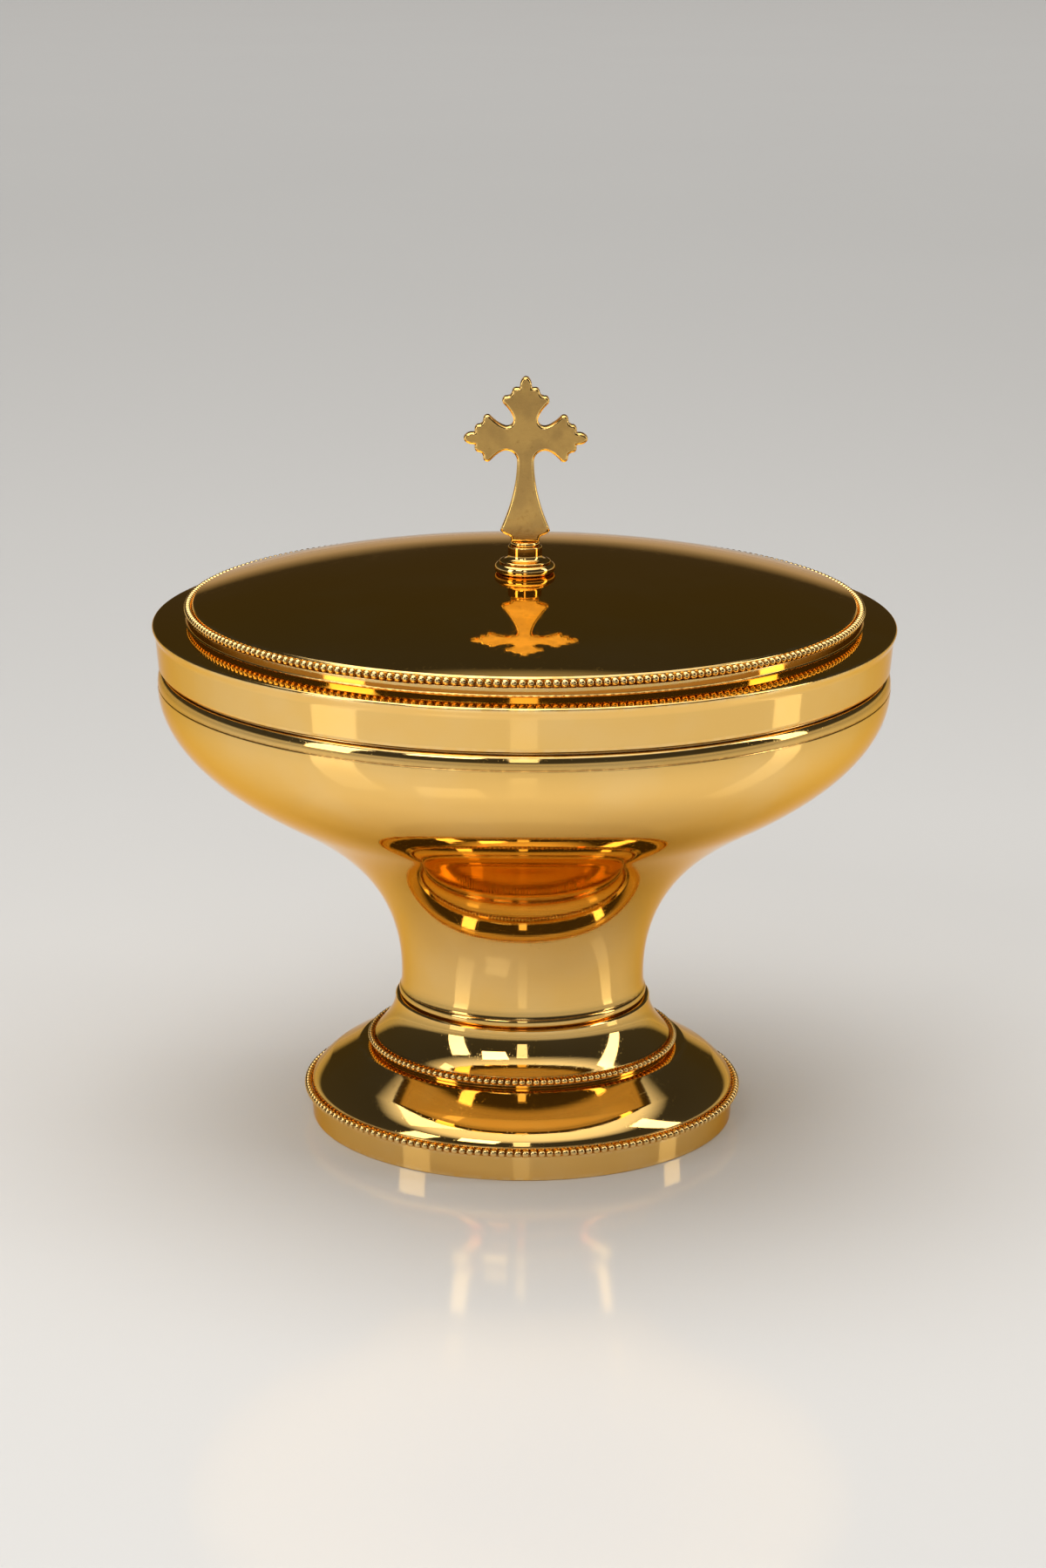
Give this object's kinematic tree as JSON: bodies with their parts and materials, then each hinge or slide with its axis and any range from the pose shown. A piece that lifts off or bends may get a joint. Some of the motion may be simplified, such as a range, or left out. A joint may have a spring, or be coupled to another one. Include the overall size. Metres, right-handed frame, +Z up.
{
  "type": "ciborium",
  "caption": "Covered ciborium: wide flared bowl on a low stepped foot, with beaded edges, an inner liner and a lift-off lid topped by a cross.",
  "frame": {"origin": "centre of the foot's underside, on the surface that the vessel stands on", "axes": "+Z up along the vessel's turning axis, +X to the right, -Y towards the face of the cross that the picture shows"},
  "size_m": [0.172, 0.172, 0.1762],
  "materials": {
    "polished_gilt": "mirror-polished gold plate",
    "bead_gilt": "polished gold plate, a little darker between the beads",
    "cast_gilt": "gold plate on a cast surface, satin faces and bright edges",
    "inner_gilt": "satin gold plate",
    "brass": "plain turned brass",
    "steel": "plain zinc-plated steel"
  },
  "bodies": {
    "bowl_and_foot": {"foot_plinth": "polished_gilt", "foot_bead_ring": "bead_gilt", "foot_dome": "polished_gilt", "foot_drum": "polished_gilt", "drum_bead_ring": "bead_gilt", "neck_ring": "polished_gilt", "bowl_shell": "polished_gilt", "bowl_liner": "inner_gilt", "neck_plate": "brass", "tie_rod": "steel", "foot_washer": "brass", "foot_nut": "steel"},
    "lid": {"lid_rim": "polished_gilt", "lid_bead_ring": "bead_gilt", "locating_ring": "inner_gilt", "lid_top": "polished_gilt", "finial_collar": "polished_gilt", "lid_cross": "cast_gilt", "finial_stud": "steel", "finial_washer": "brass", "finial_nut": "steel"}
  },
  "joints": [
    {"name": "lid_lift", "type": "slide", "parent": "bowl_and_foot", "child": "lid", "axis": [0, 0, 1], "range_m": [0, 0.12]}
  ]
}
